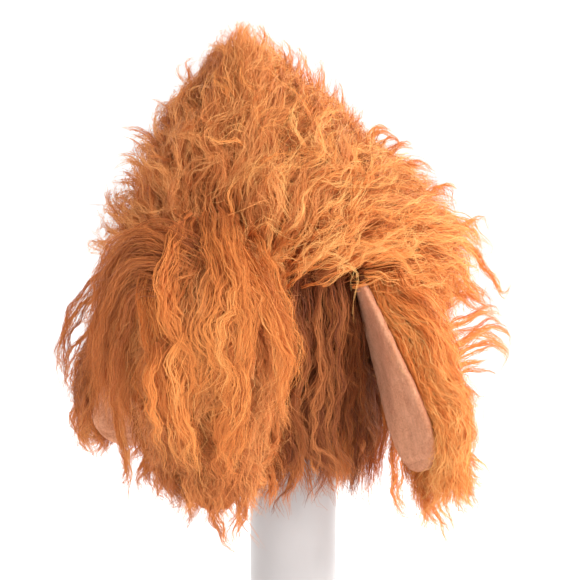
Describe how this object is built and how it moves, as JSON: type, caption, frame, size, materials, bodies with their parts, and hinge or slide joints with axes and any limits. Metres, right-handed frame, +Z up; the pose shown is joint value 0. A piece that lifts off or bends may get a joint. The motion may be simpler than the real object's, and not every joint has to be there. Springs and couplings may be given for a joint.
{
  "type": "long-haired hand puppet head on a display tube",
  "caption": "Shaggy, long-haired animal head puppet with floppy velour-lined ears and a moving jaw, slipped over a white two-part display tube.",
  "frame": {"origin": "centre of the display tube's foot, on the surface that it stands on", "axes": "+Z up along the tube, -Y towards the front of the display, +X to the viewer's right; the head faces 30 degrees to the viewer's left of -Y"},
  "size_m": [0.2713, 0.2067, 0.3999],
  "materials": {
    "white_plastic": "satin",
    "steel": "satin",
    "foam": "matte",
    "black_lining": "matte",
    "board": "matte",
    "palate_cloth": "matte",
    "velour": "matte",
    "pile": "matte",
    "backing_cloth": "matte"
  },
  "bodies": {
    "stand": {"stand_lower_tube": "white_plastic", "stand_weight": "steel"},
    "stand_top": {"stand_upper_tube": "white_plastic"},
    "head": {"foam_dome": "foam", "foam_left": "foam", "foam_right": "foam", "foam_back": "foam", "foam_throat": "foam", "foam_throat_left": "foam", "foam_throat_right": "foam", "foam_muzzle": "foam", "hand_sleeve": "black_lining", "finger_stall": "black_lining", "neck_hem": "backing_cloth", "skin_crown": "backing_cloth", "skin_left": "backing_cloth", "skin_right": "backing_cloth", "skin_nape": "backing_cloth", "skin_throat": "backing_cloth", "upper_mouth_board": "board", "upper_palate": "palate_cloth", "mouth_fold_cord": "backing_cloth", "left_ear_cord": "backing_cloth", "right_ear_cord": "backing_cloth", "fur_forehead": "pile", "fur_crown_left": "pile", "fur_crown_right": "pile", "fur_crown_back": "pile", "fur_left_cheek": "pile", "fur_right_cheek": "pile", "fur_nape": "pile", "fur_muzzle": "pile"},
    "jaw": {"lower_mouth_board": "board", "lower_palate": "palate_cloth", "foam_jaw": "foam", "fur_beard": "pile"},
    "left_ear": {"left_ear_rim": "backing_cloth", "left_ear_lining": "velour", "left_ear_wadding": "foam", "left_ear_skin": "backing_cloth", "left_ear_fur": "pile"},
    "right_ear": {"right_ear_rim": "backing_cloth", "right_ear_lining": "velour", "right_ear_wadding": "foam", "right_ear_skin": "backing_cloth", "right_ear_fur": "pile"}
  },
  "joints": [
    {"name": "stand_turn", "type": "hinge", "parent": "stand", "child": "stand_top", "pos_m": [0, 0, 0.125], "axis": [0, 0, 1], "continuous": true},
    {"name": "head_lift", "type": "slide", "parent": "stand_top", "child": "head", "axis": [0, 0, 1], "range_m": [0, 0.105]},
    {"name": "jaw_open", "type": "hinge", "parent": "head", "child": "jaw", "pos_m": [-0.03, -0.03984, 0.226], "axis": [0.866, -0.5, 0], "range_deg": [0, 20], "stiffness_Nm_per_rad": 0.2, "springref_deg": -22.92},
    {"name": "left_ear_swing", "type": "hinge", "parent": "head", "child": "left_ear", "pos_m": [-0.07941, 0.01178, 0.256], "axis": [0.9215, 0.3434, -0.1815], "range_deg": [0, 45]},
    {"name": "right_ear_swing", "type": "hinge", "parent": "head", "child": "right_ear", "pos_m": [0.03941, -0.05682, 0.256], "axis": [0.1634, -0.9697, 0.1815], "range_deg": [0, 45]}
  ]
}
